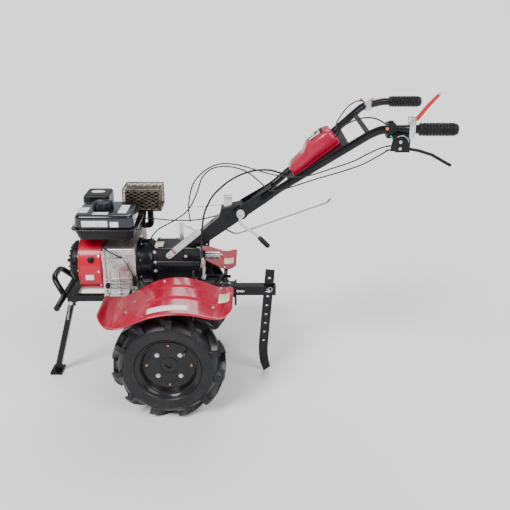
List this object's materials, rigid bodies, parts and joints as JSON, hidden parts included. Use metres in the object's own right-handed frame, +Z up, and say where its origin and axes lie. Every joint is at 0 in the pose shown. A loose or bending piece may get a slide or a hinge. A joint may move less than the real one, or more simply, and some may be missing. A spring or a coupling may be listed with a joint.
{
  "type": "walk-behind two-wheel tractor",
  "caption": "Walk-behind two-wheel tractor with a petrol engine ahead of the axle, red fenders, a rear hitch with a drag bar, and long V handlebars.",
  "frame": {"origin": "On the ground, midway between the wheels and under the middle of the machine's length (0.2205 m behind the wheel axle)", "axes": "+X to the rear, towards the grips; +Y to the machine's right; +Z up"},
  "size_m": [1.507, 0.7704, 1.193],
  "materials": {
    "red_paint": "gloss paint",
    "cover_red": "gloss moulded plastic",
    "frame_black": "satin powder coat",
    "tank_black": "gloss paint",
    "gearbox_grey": "satin painted casting",
    "engine_alloy": "die-cast, fine sand texture",
    "bright_steel": "machined",
    "guard_steel": "heat-resistant black, browned",
    "black_plastic": "moulded",
    "tyre_rubber": "matt",
    "grip_rubber": "matt, ribbed",
    "cable_black": "smooth sheath",
    "zinc": "zinc plated"
  },
  "bodies": {
    "machine": {"air_cleaner": "black_plastic", "axle_housing_left": "gearbox_grey", "axle_housing_right": "gearbox_grey", "bumper": "frame_black", "cable_clutch": "cable_black", "cable_loom": "cable_black", "cable_selector": "cable_black", "cable_throttle": "cable_black", "carburettor": "engine_alloy", "clutch_housing": "frame_black", "cylinder_head": "engine_alloy", "drag_bar": "frame_black", "engine_block": "engine_alloy", "engine_frame": "frame_black", "fan_housing": "red_paint", "fender_left": "red_paint", "fender_right": "red_paint", "fuel_cap": "black_plastic", "fuel_tank": "tank_black", "gearbox_leg": "gearbox_grey", "gearbox_upper": "gearbox_grey", "handle_column": "frame_black", "hitch_bar": "frame_black", "hitch_bracket": "frame_black", "hitch_pin": "zinc", "lock_lever": "zinc", "lock_post": "zinc", "muffler": "guard_steel", "muffler_guard": "guard_steel", "rear_shaft_cover": "bright_steel", "recoil_starter": "black_plastic", "rocker_cover": "engine_alloy", "selector_arm": "zinc", "shift_rod": "zinc"},
    "wheel_left": {"tyre_left": "tyre_rubber", "rim_left": "frame_black", "hub_left": "frame_black", "half_shaft_left": "bright_steel"},
    "wheel_right": {"tyre_right": "tyre_rubber", "rim_right": "frame_black", "hub_right": "frame_black", "half_shaft_right": "bright_steel"},
    "stand": {"stand_leg": "frame_black"},
    "handlebar": {"handle_yoke": "frame_black", "pivot_bolt": "bright_steel", "clamp_lever": "zinc", "crossbar": "frame_black", "console_plate": "frame_black", "console_cover": "cover_red", "clutch_lever": "black_plastic", "safety_lever": "zinc", "stop_switch": "black_plastic", "throttle_lever": "zinc", "handle_tube_left": "frame_black", "grip_left": "grip_rubber", "handle_tube_right": "frame_black", "grip_right": "grip_rubber", "cable_switch": "cable_black", "cable_accelerator": "cable_black"}
  },
  "joints": [
    {"name": "wheel_left_spin", "type": "hinge", "parent": "machine", "child": "wheel_left", "pos_m": [-0.2205, -0.292, 0.21], "axis": [0, 1, 0], "continuous": true},
    {"name": "wheel_right_spin", "type": "hinge", "parent": "machine", "child": "wheel_right", "pos_m": [-0.2205, 0.292, 0.21], "axis": [0, 1, 0], "continuous": true},
    {"name": "stand_fold", "type": "hinge", "parent": "machine", "child": "stand", "pos_m": [-0.6375, 0, 0.325], "axis": [0, -1, 0], "range_deg": [0, 98]},
    {"name": "handlebar_tilt", "type": "hinge", "parent": "machine", "child": "handlebar", "pos_m": [0.0405, 0, 0.707], "axis": [0, -1, 0], "range_deg": [-18, 12], "deforming": ["cable_throttle", "cable_clutch", "cable_selector", "cable_loom"]}
  ]
}
